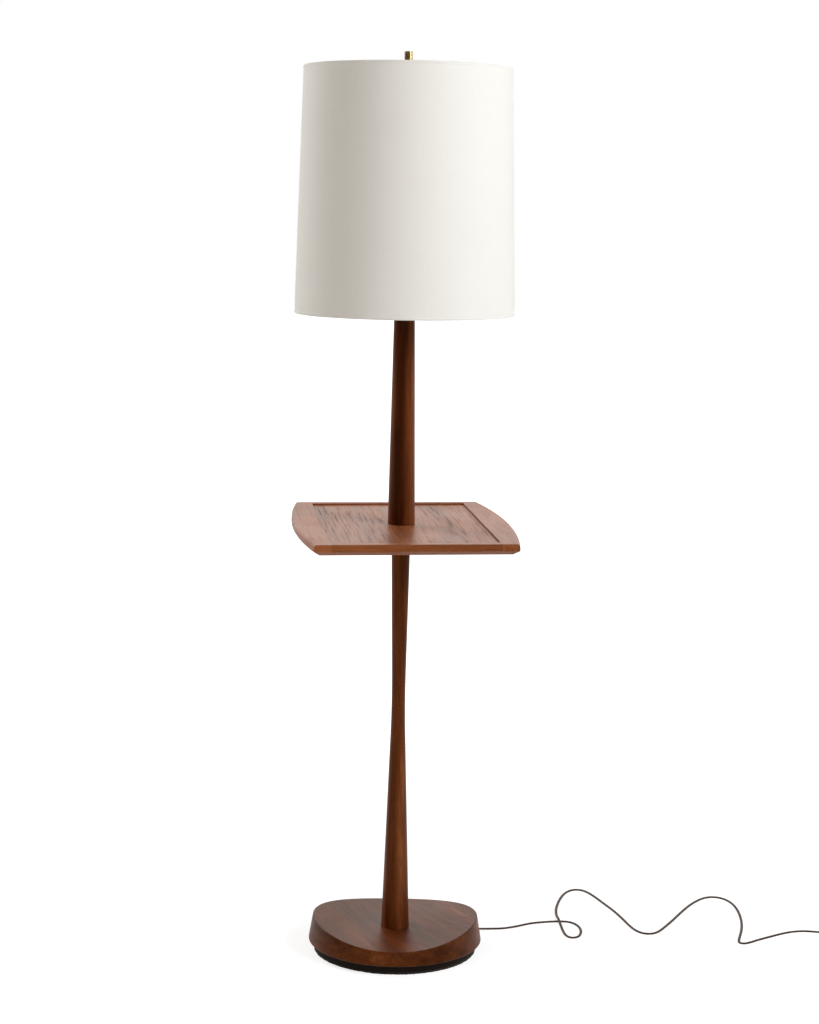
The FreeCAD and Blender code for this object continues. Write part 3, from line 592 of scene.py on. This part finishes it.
def coil_points(sizes):
    """Control points of half turns that wind inward, climb a layer and wind outward."""
    steps = [0.0, 1.0] + [1.0 + number / 2 for number in range(1, HALF_TURNS_IN - 1)]
    outward = [sizes.inner_turn + step * sizes.pitch for step in steps]
    reach = outward[::-1] + outward + [sizes.inner_turn + (steps[-1] + 0.5) * sizes.pitch]
    last = Vector(ROUTE[-1])
    centre = last + Vector((sizes.lead_in, reach[0], 0.0))
    spots = []
    for number, distance in enumerate(reach):
        side = -1 if number % 2 == 0 else 1
        layer = 0.0 if number < HALF_TURNS_IN else sizes.pitch
        spots.append(centre + Vector((0.0, side * distance, layer)))
    # control points lie outside the curve that they pull, so the turns are swelled a little
    swell = 1 / math.cos(math.pi / POINTS_PER_HALF_TURN / 2) ** 0.5
    points = [spots[0]]
    for number, (start, end) in enumerate(zip(spots, spots[1:])):
        heading = Vector((1.0 if number % 2 == 0 else -1.0, 0.0, 0.0))
        middle = (start + end) / 2
        arm = (start - end) / 2
        for step in range(POINTS_PER_HALF_TURN):
            angle = math.pi * (step + 0.5) / POINTS_PER_HALF_TURN
            reached = arm * math.cos(angle) + heading * arm.length * math.sin(angle)
            points.append(middle + reached * swell)
    end = spots[-1]
    out = 1.0 if len(reach) % 2 == 1 else -1.0
    entry = Vector((end.x + out * sizes.lead_out, end.y, sizes.plug_axis))
    points.append(end + Vector((out * sizes.lead_out * 0.25, 0.0, 0.0)))
    points.append(entry - Vector((out * sizes.lead_out * 0.3, 0.0, 0.0)))
    points.append(entry)
    return points, entry


def laid_flat(points, sizes):
    """The flat cord lies on its broad side, so it rests lower than a round one as wide."""
    lower = sizes.thickness / sizes.width
    lying = range(POINTS_AT_EXIT, len(points) - POINTS_AT_PLUG)
    return [Vector((x, y, z * lower if number in lying else z))
            for number, (x, y, z) in enumerate(points)]


def route_curve(name, points):
    curve = bpy.data.curves.new(name, "CURVE")
    curve.dimensions = "3D"
    curve.twist_mode = "Z_UP"
    spline = curve.splines.new("NURBS")
    spline.points.add(len(points) - 1)
    for control, point in zip(spline.points, points):
        control.co = (*point, 1.0)
    spline.order_u = 3
    spline.use_endpoint_u = True
    spline.resolution_u = 8
    line = bpy.data.objects.new(name, curve)
    bpy.context.scene.collection.objects.link(line)
    return line


def line_points(line):
    """Points that the smooth line goes through."""
    mesh = bpy.data.meshes.new_from_object(line)
    points = [tuple(vertex.co) for vertex in mesh.vertices]
    bpy.data.meshes.remove(mesh)
    return points


def twin_profile(sizes):
    """Cross-section of the flat twin cord: two round cores joined by a thin web."""
    radius = sizes.thickness / 2
    spread = sizes.width / 2 - radius
    curve = bpy.data.curves.new("cord_section", "CURVE")
    curve.dimensions = "2D"
    spline = curve.splines.new("POLY")
    corners = []
    for side in (1, -1):
        for step in range(CORE_STEPS + 1):
            angle = CORE_ARC * (step / CORE_STEPS - 0.5) + (0.0 if side == 1 else math.pi)
            corners.append((side * spread + radius * math.cos(angle), radius * math.sin(angle)))
    spline.points.add(len(corners) - 1)
    for control, (across, up) in zip(spline.points, corners):
        control.co = (across, up, 0.0, 1.0)
    spline.use_cyclic_u = True
    section = bpy.data.objects.new("cord_section", curve)
    bpy.context.scene.collection.objects.link(section)
    return section


# ---------------------------------------------------------------- operators, a piece or group each

# name, place, aim, width, height, colour
LAMPS = (
    ("key", (2.45, -1.45, 2.5), (0.0, 0.0, 0.95), 1.5, 1.5, (0.98, 0.99, 1.0)),
    ("fill", (-2.3, -2.6, 2.1), (0.0, 0.0, 0.8), 1.8, 1.8, (1.0, 0.88, 0.75)),
    ("rim", (-2.4, 1.9, 2.5), (0.0, 0.0, 0.9), 1.2, 1.2, (1.0, 1.0, 1.0)),
    ("back", (0.2, 2.6, 1.25), (0.0, 0.0, 0.7), 2.6, 1.5, (1.0, 0.90, 0.82)),
)
FLOOR_SIZE = 40.0
WHITE = (1.0, 1.0, 1.0, 1.0)
ROOM_SHADE = 0.10
WALL_FROM = -0.25
WALL_TO = 0.45
WALL_LEAN = 0.35


class LAMP_OT_stage(bpy.types.Operator):
    """Camera at the photograph's angle, plain pale floor and soft studio lamps"""
    bl_idname = "lamp.stage"
    bl_label = "Stage"

    def execute(self, context):
        stage = context.scene.lamp_stage
        deselect()
        bpy.ops.object.camera_add()
        camera = context.object
        camera.name = "camera"
        camera.data.lens = stage.lens
        camera.data.sensor_width = 36.0
        camera.data.sensor_fit = "AUTO"
        camera.data.shift_x = stage.shift
        camera.data.clip_end = 60.0
        camera.matrix_world = (Matrix.Translation(stage.camera_place)
                               @ Matrix.Rotation(math.pi / 2 - stage.camera_pitch, 4, "X")
                               @ Matrix.Rotation(stage.camera_roll, 4, "Z"))
        context.scene.camera = camera
        deselect()
        bpy.ops.mesh.primitive_plane_add(size=FLOOR_SIZE, location=(0, 0, 0))
        floor = context.object
        floor.name = "floor"
        floor.data.materials.append(self.floor_finish(stage))
        for name, place, aim, width, height, tone in LAMPS:
            self.lamp(name, place, aim, width, height, getattr(stage, name + "_power"), tone)
        self.world(context, stage)
        context.scene.view_settings.view_transform = "Standard"
        return {"FINISHED"}

    @staticmethod
    def lamp(name, place, aim, width, height, power, tone):
        """A soft box that the camera doesn't see; the fill isn't mirrored either."""
        deselect()
        bpy.ops.object.light_add(type="AREA", location=place)
        lamp = bpy.context.object
        lamp.name = name
        lamp.data.shape = "RECTANGLE"
        lamp.data.size = width
        lamp.data.size_y = height
        lamp.visible_camera = False
        lamp.visible_glossy = name != "fill"
        lamp.data.energy = power
        lamp.data.color = tone
        lamp.rotation_euler = (Vector(aim) - Vector(place)).to_track_quat("-Z", "Y").to_euler()

    @staticmethod
    def floor_finish(stage):
        """Pale floor that takes the lamp's shadow and fades into the white behind it."""
        finish = Finish("Floor")
        where = finish.place()
        speckle = finish.noise(where, 30.0, detail=2.0)
        tone = finish.ramp(speckle, [(0.0, (0.86, 0.86, 0.86)), (1.0, (0.90, 0.90, 0.90))])
        matt = finish.add("ShaderNodeBsdfDiffuse", None, {"Color": tone})
        glow = finish.add("ShaderNodeEmission", None,
                          {"Color": WHITE, "Strength": stage.floor_white})
        seen = finish.add("ShaderNodeLightPath", output="Is Camera Ray")
        mirrored = finish.add("ShaderNodeLightPath", output="Is Glossy Ray")
        across, away, _ = finish.parts(where)
        reach = (across ** 2.0 + away ** 2.0) ** 0.5
        far = ((reach - 0.5) * 1.2).clamped()
        glow_here = far * (1.0 - stage.floor_glow) + stage.floor_glow
        amount = (seen + mirrored * 0.5).clamped() * glow_here
        finish.add_output(finish.add("ShaderNodeMixShader", None, {0: amount, 1: matt, 2: glow}))
        return finish.material

    @staticmethod
    def world(context, stage):
        """White to the eye; a pale back wall and a dimmer room to the lamp itself."""
        context.scene.world = bpy.data.worlds.new("studio")
        room = Finish("studio", context.scene.world)
        across, away, _ = room.parts(room.add("ShaderNodeTexCoord"))
        wall = room.add("ShaderNodeMapRange", {"interpolation_type": "SMOOTHSTEP"},
                        {"Value": across * WALL_LEAN + away, "From Min": WALL_FROM,
                         "From Max": WALL_TO, "To Min": ROOM_SHADE, "To Max": 1.0})
        mirror, soft, white = [
            room.add("ShaderNodeBackground", None, {"Color": WHITE, "Strength": strength})
            for strength in (wall, stage.sky, 1.0)]
        seen, glossy, through = [
            room.add("ShaderNodeLightPath", output=f"Is {kind} Ray")
            for kind in ("Camera", "Glossy", "Transmission")]
        reflected = glossy.math("MAXIMUM", through)
        lower = room.add("ShaderNodeMixShader", None, {0: reflected, 1: soft, 2: mirror})
        upper = room.add("ShaderNodeMixShader", None, {0: seen, 1: lower, 2: white})
        room.add_output(upper, "ShaderNodeOutputWorld")


class LAMP_OT_cord(bpy.types.Operator):
    """Flat twin cord from the base, over the floor to its coil"""
    bl_idname = "lamp.cord"
    bl_label = "Cord"

    def execute(self, context):
        sizes = context.scene.lamp_cord
        coil, _ = coil_points(sizes)
        route = route_curve("cord", laid_flat(ROUTE + [tuple(point) for point in coil], sizes))
        path = line_points(route)
        section = twin_profile(sizes)
        route.data.bevel_mode = "OBJECT"
        route.data.bevel_object = section
        route.data.use_fill_caps = True
        deselect()
        context.view_layer.objects.active = route
        route.select_set(True)
        bpy.ops.object.convert(target="MESH")
        bpy.data.objects.remove(section, do_unlink=True)
        begin_edit()
        bpy.ops.mesh.select_all(action="SELECT")
        bpy.ops.mesh.normals_make_consistent(inside=False)
        brown = tuple(context.scene.lamp_metal_colours.cord)
        finish = moulded("Cord rubber", brown, 0.5, 900.0, gloss=0.2)
        settle("cord", finish, "frame", "cord_run", "cord_coil", slot="brown_plastic", smooth=50.0)
        return {"FINISHED"}


class LAMP_OT_plug(bpy.types.Operator):
    """Moulded two-blade plug with a ribbed, tapered neck"""
    bl_idname = "lamp.plug"
    bl_label = "Plug"

    def execute(self, context):
        sizes = context.scene.lamp_cord
        _, entry = coil_points(sizes)
        low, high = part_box("plug_body")
        neck = sizes.plug_neck
        start = low[0] + neck
        thin = sizes.neck_radius
        profile = [(thin, 0.0)]
        for rib in range(sizes.neck_ribs):
            foot = 0.0010 + rib * sizes.rib_pitch
            grown = thin + sizes.neck_growth * (rib + 1) / sizes.neck_ribs
            profile += [(grown, foot), (grown, foot + 0.0013),
                        (grown - sizes.rib_height, foot + 0.0015),
                        (grown - sizes.rib_height, foot + 0.0022)]
        profile.append((thin + sizes.neck_growth, neck + 0.0008))
        turn_up(profile, 32)
        begin_edit()
        bpy.ops.mesh.select_all(action="SELECT")
        bpy.ops.transform.rotate(value=-math.pi / 2, orient_axis="Y", center_override=(0, 0, 0))
        shape = bmesh.from_edit_mesh(context.object.data)
        if max(vertex.co.x for vertex in shape.verts) < neck / 2:
            bpy.ops.transform.rotate(value=math.pi, orient_axis="Z", center_override=(0, 0, 0))
        bpy.ops.transform.translate(value=tuple(entry))
        bpy.ops.object.mode_set(mode="OBJECT")
        neck_piece = context.object
        deselect()
        centre = ((start + high[0]) / 2, (low[1] + high[1]) / 2, (low[2] + high[2]) / 2)
        size = (high[0] - start, high[1] - low[1], high[2] - low[2])
        bpy.ops.mesh.primitive_cube_add(size=1.0, location=centre, scale=size)
        bpy.ops.object.transform_apply(location=True, rotation=True, scale=True)
        begin_edit()
        choose("FACE", lambda place, normal: normal.x < -0.9)
        bpy.ops.transform.resize(value=(1, 0.72, 0.72), center_override=centre)
        choose("FACE", lambda place, normal: abs(normal.x) < 0.5)
        bpy.ops.mesh.bevel(offset=sizes.plug_edge, segments=4, affect="EDGES")
        choose("FACE", lambda place, normal: normal.x > 0.9)
        bpy.ops.mesh.inset(thickness=sizes.face_rim)
        let_in = {"value": (-sizes.face_depth, 0, 0)}
        bpy.ops.mesh.extrude_region_move(TRANSFORM_OT_translate=let_in)
        for side in (1, -1):
            choose("FACE", lambda place, normal: normal.z * side > 0.85
                   and abs(place.x - centre[0]) < 0.006)
            bpy.ops.mesh.inset(thickness=sizes.grip_rim)
            let_in = {"value": (0, 0, -side * sizes.grip_depth)}
            bpy.ops.mesh.extrude_region_move(TRANSFORM_OT_translate=let_in)
        bpy.ops.object.mode_set(mode="OBJECT")
        neck_piece.select_set(True)
        bpy.ops.object.join()
        brown = tuple(context.scene.lamp_metal_colours.cord)
        finish = moulded("Plug rubber", brown, 0.45, 700.0)
        settle("plug", finish, "frame", "plug_body", slot="brown_plastic", smooth=35.0)
        return {"FINISHED"}


class LAMP_OT_shade(bpy.types.Operator):
    """Cloth drum with a lapped seam at the back, its lining and its two hem tapes"""
    bl_idname = "lamp.shade"
    bl_label = "Shade"

    def execute(self, context):
        sizes = context.scene.lamp_shade
        bottom, top = node_levels("shade_drum")
        bottom_radius = node_radius("shade_drum")
        hem_top_radius = node_radius("shade_trim_top") - 0.0007
        height = top - bottom
        deselect()
        bpy.ops.mesh.primitive_cone_add(vertices=sizes.sides, radius1=bottom_radius,
                                        radius2=hem_top_radius, depth=height,
                                        end_fill_type="NOTHING", location=(0, 0, (bottom + top) / 2))
        bpy.ops.object.transform_apply(location=True, rotation=True, scale=True)
        begin_edit()
        bpy.ops.mesh.select_all(action="SELECT")
        bpy.ops.mesh.normals_make_consistent(inside=False)
        choose("FACE", lambda place, normal: place.y > 0 and abs(place.x) < sizes.seam_width / 2)
        bpy.ops.mesh.extrude_region_shrink_fatten(
            TRANSFORM_OT_shrink_fatten={"value": sizes.seam_height})
        bpy.ops.object.mode_set(mode="OBJECT")
        apply_modifier("SOLIDIFY", thickness=sizes.wall, offset=-1.0, material_offset=1,
                       use_rim=True)
        drum = context.object
        drum.data.materials.clear()
        drum.data.materials.append(cloth())
        drum.data.materials.append(lining())
        for face in drum.data.polygons:
            outward = Vector((face.center.x, face.center.y, 0.0)).normalized()
            face.material_index = 0 if face.normal.dot(outward) > -0.5 else 1
        settle("shade_cloth", None, "shade", "shade_drum", slot="linen", smooth=30.0)
        self.hem("hem_top", "shade_trim_top", hem_top_radius, sizes)
        self.hem("hem_bottom", "shade_trim_bottom", bottom_radius, sizes)
        return {"FINISHED"}

    @staticmethod
    def hem(name, node, radius, sizes):
        """A flattened ring of tape, spun round the drum's axis."""
        deselect()
        low, high = node_levels(node)
        tall = high - low
        bpy.ops.mesh.primitive_circle_add(vertices=20, radius=0.5, rotation=(math.pi / 2, 0, 0),
                                          location=(0, 0, 0), fill_type="NOTHING")
        bpy.ops.object.transform_apply(location=True, rotation=True, scale=True)
        begin_edit()
        bpy.ops.mesh.select_all(action="SELECT")
        bpy.ops.transform.resize(value=(sizes.hem_thickness, 1, tall), center_override=(0, 0, 0))
        centre = radius - sizes.wall / 2
        bpy.ops.transform.translate(value=(centre, 0, (low + high) / 2))
        bpy.ops.mesh.spin(steps=288, angle=WHOLE_TURN, center=(0, 0, 0), axis=(0, 0, 1))
        bpy.ops.mesh.select_all(action="SELECT")
        bpy.ops.mesh.remove_doubles(threshold=0.00002)
        bpy.ops.mesh.normals_make_consistent(inside=False)
        settle(name, tape(), "shade", node, slot="linen", smooth=60.0)


class LAMP_OT_felt(bpy.types.Operator):
    """Felt pad under the base, with a slightly ragged edge"""
    bl_idname = "lamp.felt"
    bl_label = "Felt"

    def execute(self, context):
        sizes = context.scene.lamp_felt
        low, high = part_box("base_felt")
        half = [(high[axis] - low[axis]) / 2 for axis in range(3)]
        deselect()
        bpy.ops.mesh.primitive_cylinder_add(vertices=sizes.sides, radius=1.0, depth=2.0,
                                            location=(0, 0, half[2]), scale=tuple(half))
        bpy.ops.object.transform_apply(location=True, rotation=True, scale=True)
        begin_edit()
        choose("FACE", lambda place, normal: abs(normal.z) > 0.9)
        bpy.ops.mesh.inset(thickness=sizes.rounding)
        choose("VERT", lambda place, normal: abs(abs(place.z - half[2]) - half[2]) < 1e-5
               and math.hypot(place.x / half[0], place.y / half[1]) > 0.998)
        bpy.ops.transform.resize(value=(0.9965, 0.9965, 0.86), center_override=(0, 0, half[2]))
        bpy.ops.object.mode_set(mode="OBJECT")
        fray = bpy.data.textures.new("fray", "CLOUDS")
        fray.noise_scale = sizes.fray_grain
        fray.noise_depth = 2
        group = context.object.vertex_groups.new(name="edge")
        rim = [vertex.index for vertex in context.object.data.vertices
               if math.hypot(vertex.co.x / half[0], vertex.co.y / half[1]) > 0.99]
        group.add(rim, 1.0, "REPLACE")
        apply_modifier("DISPLACE", texture=fray, strength=sizes.fray, mid_level=sizes.fray_middle,
                       direction="NORMAL", vertex_group="edge")
        for vertex in context.object.data.vertices:
            vertex.co.z = min(max(vertex.co.z, 0.0), high[2])
        settle("felt_pad", felt(), "frame", "base_felt", slot="felt", smooth=40.0)
        return {"FINISHED"}


class LAMP_OT_socket(bpy.types.Operator):
    """Brass socket shell with its rolled beads"""
    bl_idname = "lamp.socket"
    bl_label = "Socket shell"

    def execute(self, context):
        sizes = context.scene.lamp_metal
        bottom, top = node_levels("socket_shell")
        radius = node_radius("socket_shell")
        bead = sizes.bead
        width = sizes.bead_width
        profile = [(radius, bottom), (radius, bottom + 0.0110)]
        for level in (0.026, 0.0295, 0.033, top - bottom - 0.0022):
            profile += [(radius, bottom + level), (radius + bead, bottom + level + width / 3),
                        (radius + bead, bottom + level + width * 2 / 3)]
            profile.append((radius, min(bottom + level + width, top)))
        turn_up(profile, sizes.sides, bottom=False, top=False)
        apply_modifier("SOLIDIFY", thickness=sizes.shell_wall, offset=-1.0)
        tone = tuple(context.scene.lamp_metal_colours.brass)
        brass = metal("Brass shell", tone, 0.24, (1, 1, 12))
        settle("socket_shell_beaded", brass, "frame", "socket_shell", slot="brass", smooth=40.0)
        return {"FINISHED"}


class LAMP_OT_bulb_cap(bpy.types.Operator):
    """Bulb's screw cap with its rolled thread; the solder tip under it comes from the model"""
    bl_idname = "lamp.bulb_cap"
    bl_label = "Bulb cap"

    def execute(self, context):
        sizes = context.scene.lamp_metal
        bottom, top = node_levels("bulb_cap")
        radius = node_radius("bulb_cap")
        depth = sizes.thread_depth
        pitch = sizes.thread_pitch
        profile = [(radius - depth - 0.001, bottom), (radius - depth, bottom + 0.0008)]
        level = bottom + 0.0016
        while level + pitch < top - 0.003:
            profile += [(radius - depth, level), (radius - depth * 0.3, level + pitch * 0.25),
                        (radius, level + pitch * 0.5), (radius - depth * 0.3, level + pitch * 0.75)]
            level += pitch
        profile += [(radius - depth, level), (radius - depth, top - 0.0012), (radius, top - 0.0004),
                    (radius, top)]
        turn_up(profile, sizes.sides)
        tone = tuple(context.scene.lamp_metal_colours.steel)
        steel = metal("Bulb cap metal", tone, 0.3, (1, 1, 8))
        settle("bulb_cap_threaded", steel, "bulb", "bulb_cap", slot="zinc_steel", smooth=50.0)
        return {"FINISHED"}


class LAMP_OT_finishes(bpy.types.Operator):
    """Finishes of the pieces whose shape comes from the construction model"""
    bl_idname = "lamp.finishes"
    bl_label = "Finishes"

    def execute(self, context):
        metals = context.scene.lamp_metal_colours
        turn = TRAY_GRAIN
        brass = metal("Brass", tuple(metals.brass), 0.20, (1, 1, 10), marks=0.05)
        steel = metal("Zinc steel", tuple(metals.steel), 0.35, (1, 1, 6))
        iron = moulded("Iron paint", tuple(metals.iron), 0.6, 420.0, gloss=0.12)
        black = moulded("Black plastic", tuple(metals.black), 0.35, 600.0, 0.2)
        cord = moulded("Lead rubber", tuple(metals.cord), 0.42, 900.0)
        fibre = moulded("Insulating fibre", (0.30, 0.25, 0.18), 0.6, 800.0)
        worn = context.scene.lamp_wood_colours.tray_gloss
        # both columns get the painted shade band; the upper column's is deeper, painted shade for the
        # lampshade's shadow over it
        column = wood("Column wood", "Z", offset=(0.3, 0.7, 0.0), painted_shade_depth=0.08)
        upper = wood("Upper column wood", "Z", offset=(1.3, 0.2, 0.5), painted_shade_depth=0.26)
        # the tray's woods are paler than the columns': partly their own lighter tone, partly painted
        # light standing in for the light on the tray's top
        wings = wood("Wing wood", "Y", turn, (0.2, 0.1, 0.9), paler=0.36, gloss=worn)
        rails = wood("Rail wood", "X", turn, (0.9, 0.4, 0.3), paler=0.24, gloss=worn)
        panel = wood("Panel wood", "Y", turn, (0.55, 0.8, 0.1), paler=0.30, figure=2.4, gloss=worn)
        base = wood("Base wood", "Y", BASE_GRAIN, (0.1, 0.35, 0.6), paler=-0.08, gloss=worn)
        choices = {
            brass: ["neck_cap", "harp_saddle", "harp_wire", "harp_stud", "harp_ferrule_left",
                    "harp_ferrule_right", "socket_cap", "screw_shell", "centre_contact",
                    "spider_hub", "spider_arm_1", "spider_arm_2", "spider_arm_3", "finial",
                    "plug_blade_left", "plug_blade_right"],
            steel: ["base_nut", "base_washer", "stem_pipe", "bulb_tip", "shade_ring_top",
                    "shade_ring_bottom", "weight_screw_1", "weight_screw_2", "weight_screw_3"],
            iron: ["base_weight"],
            black: ["cord_bushing", "switch_shaft", "switch_knob"],
            cord: ["inner_lead"],
            fibre: ["socket_sleeve", "socket_core"],
            column: ["lower_column"],
            upper: ["upper_column"],
            wings: ["tray_wing_left", "tray_wing_right"],
            rails: ["tray_rail_front", "tray_rail_back"],
            panel: ["tray_panel"],
            base: ["base_wood"],
            bulb_white(): ["bulb_glass"],
        }
        for finish, nodes in choices.items():
            for node in nodes:
                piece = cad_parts[node]
                piece.data.materials.clear()
                piece.data.materials.append(finish)
        return {"FINISHED"}


PIECES = (LAMP_OT_stage, LAMP_OT_plug, LAMP_OT_cord, LAMP_OT_shade, LAMP_OT_felt, LAMP_OT_socket,
          LAMP_OT_bulb_cap, LAMP_OT_finishes)


class LAMP_PT_panel(bpy.types.Panel):
    """Steps that build the floor lamp"""
    bl_idname = "LAMP_PT_panel"
    bl_label = "Floor lamp with table"
    bl_space_type = "VIEW_3D"
    bl_region_type = "UI"
    bl_category = "Floor Lamp"

    def draw(self, context):
        for step in PIECES:
            self.layout.operator(step.bl_idname)
        for setting, group in SETTINGS.items():
            box = self.layout.box()
            for name in group.__annotations__:
                box.prop(getattr(context.scene, setting), name)


def register():
    for setting, group in SETTINGS.items():
        bpy.utils.register_class(group)
        setattr(bpy.types.Scene, setting, PointerProperty(type=group))
    for step in PIECES + (LAMP_PT_panel,):
        bpy.utils.register_class(step)


def unregister():
    for step in reversed(PIECES + (LAMP_PT_panel,)):
        bpy.utils.unregister_class(step)
    for setting, group in SETTINGS.items():
        delattr(bpy.types.Scene, setting)
        bpy.utils.unregister_class(group)


def main():
    register()
    bpy.ops.lamp.stage()
    bpy.ops.lamp.plug()
    bpy.ops.lamp.cord()
    bpy.ops.lamp.shade()
    bpy.ops.lamp.felt()
    bpy.ops.lamp.socket()
    bpy.ops.lamp.bulb_cap()
    bpy.ops.lamp.finishes()


if __name__ == "__main__":
    main()
